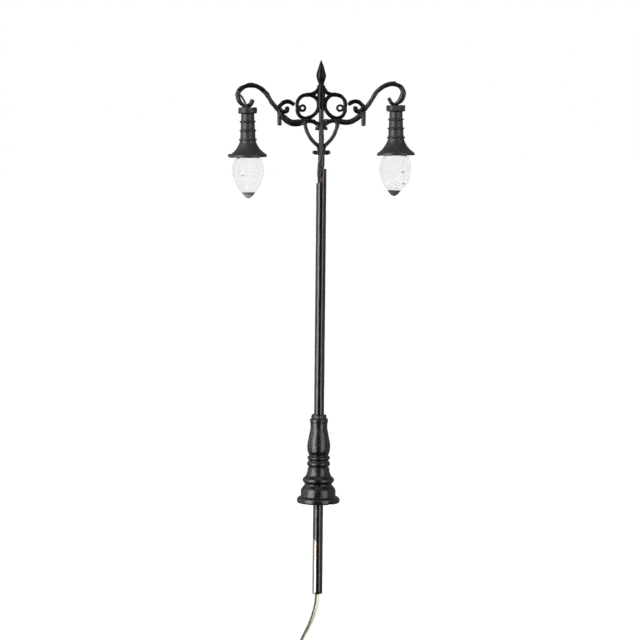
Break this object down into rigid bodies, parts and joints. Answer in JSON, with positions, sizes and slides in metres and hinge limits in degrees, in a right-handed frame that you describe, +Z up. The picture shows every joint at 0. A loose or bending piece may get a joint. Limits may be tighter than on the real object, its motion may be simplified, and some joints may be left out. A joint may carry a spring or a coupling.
{
  "type": "model street lamp",
  "caption": "Thin mast on a turned base, carrying a scrolled bracket with a hanging lamp at each end; fine leads leave the mast's foot.",
  "frame": {"origin": "centre of the underside of the base, on the mast's axis", "axes": "+Z up along the mast, +X to the right of the front, the front faces -Y"},
  "size_m": [0.0278, 0.0064, 0.0926],
  "materials": {
    "gloss_black": "thick gloss black paint",
    "mast_black": "gloss black paint, with bare bright metal near the foot",
    "satin_plastic": "satin dark grey moulding",
    "clear_plastic": "clear moulding, almost white",
    "led_white": "pale resin",
    "wire_black": "black insulation",
    "shrink_black": "matt shrink tube",
    "sleeve_red": "soft insulation",
    "lead_dark": "soft grey-brown insulation",
    "lead_yellow": "soft pale yellow insulation",
    "tie_black": "flat plastic tie"
  },
  "bodies": {
    "root": {"mast_tube": "mast_black", "base_pedestal": "satin_plastic", "core_rod": "gloss_black", "spear_finial": "gloss_black", "ladder_bar": "gloss_black", "arm_left": "gloss_black", "arm_right": "gloss_black", "scroll_left": "gloss_black", "scroll_right": "gloss_black", "curl_left": "gloss_black", "curl_right": "gloss_black", "drop_pin_left": "gloss_black", "drop_pin_right": "gloss_black", "heart_left": "gloss_black", "heart_right": "gloss_black", "shade_left": "satin_plastic", "shade_right": "satin_plastic", "globe_left": "clear_plastic", "globe_right": "clear_plastic", "globe_tip_left": "satin_plastic", "globe_tip_right": "satin_plastic", "led_left": "led_white", "led_right": "led_white", "lamp_wire_left_a": "wire_black", "lamp_wire_left_b": "wire_black", "lamp_wire_right_a": "wire_black", "lamp_wire_right_b": "wire_black", "red_sleeve": "sleeve_red", "splice_dark": "shrink_black", "splice_yellow": "shrink_black", "feed_wire_dark": "lead_dark", "feed_wire_yellow": "lead_yellow", "lead_dark": "lead_dark", "lead_yellow": "lead_yellow", "coil_dark": "lead_dark", "coil_yellow": "lead_yellow", "lead_tie": "tie_black"}
  },
  "joints": []
}
